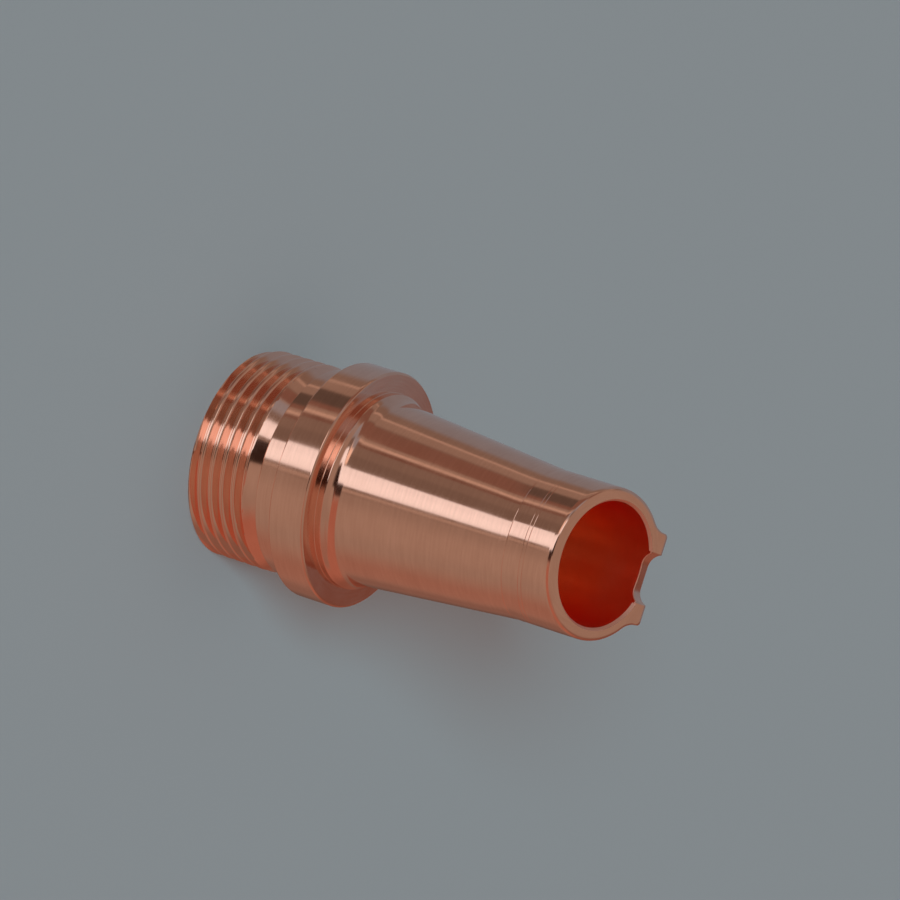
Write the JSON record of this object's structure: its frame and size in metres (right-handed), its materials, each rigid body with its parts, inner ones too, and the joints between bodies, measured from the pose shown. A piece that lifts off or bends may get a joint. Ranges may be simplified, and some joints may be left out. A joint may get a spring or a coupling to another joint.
{
  "type": "laser welding nozzle",
  "caption": "Copper nozzle for a hand-held laser welding head: screw end, seating collar, long cone and slanted tip with a wire notch.",
  "frame": {"origin": "centre of the rear face, at the screw end", "axes": "+Z along the bore towards the tip, +Y towards the wire notch"},
  "size_m": [0.018, 0.018, 0.0325],
  "materials": {
    "copper": "bright turned copper, with fine turning marks round the axis"
  },
  "bodies": {
    "root": {"nozzle": "copper"}
  },
  "joints": []
}
